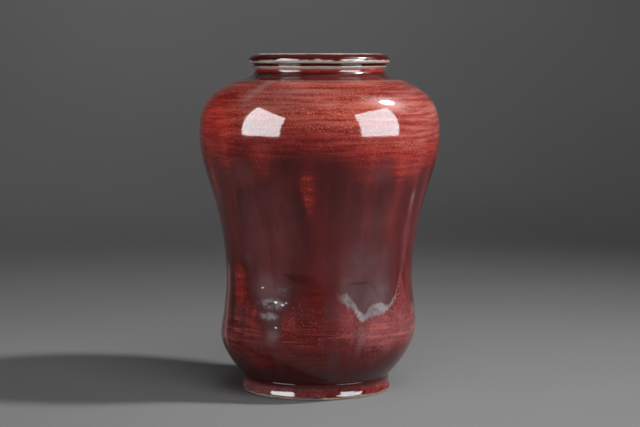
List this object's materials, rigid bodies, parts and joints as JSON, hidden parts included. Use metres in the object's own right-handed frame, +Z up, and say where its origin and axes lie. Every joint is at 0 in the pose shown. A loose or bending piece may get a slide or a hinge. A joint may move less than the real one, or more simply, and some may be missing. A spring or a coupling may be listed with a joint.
{
  "type": "fluted baluster vase",
  "caption": "Wide-mouthed baluster vase with a rolled lip, short hollow-curved neck, broad shoulder, pressed flutes at the waist and a turned foot ring; holds flowers or branches.",
  "frame": {"origin": "point below the middle of the mouth, in the plane that the foot ring stands on; the foot's own centre is 3 mm to its -X side", "axes": "+Z up along the vase's axis; -Y faces the viewer, through the middle of a rib between two flutes"},
  "size_m": [0.2146, 0.2146, 0.3],
  "materials": {
    "bare_clay": "matte",
    "slip": "matte",
    "red_glaze": "gloss",
    "liner_glaze": "gloss",
    "base_glaze": "gloss"
  },
  "bodies": {
    "root": {"foot_ring": "bare_clay", "floor_disc": "bare_clay", "lower_body": "bare_clay", "upper_body": "bare_clay", "shoulder_dome": "bare_clay", "neck_collar": "bare_clay", "mouth_rim": "bare_clay", "foot_lute": "slip", "waist_lute": "slip", "shoulder_lute": "slip", "neck_lute": "slip", "rim_lute": "slip", "body_glaze": "red_glaze", "neck_glaze": "red_glaze", "foot_glaze": "red_glaze", "liner_glaze": "liner_glaze", "base_glaze": "base_glaze"}
  },
  "joints": []
}
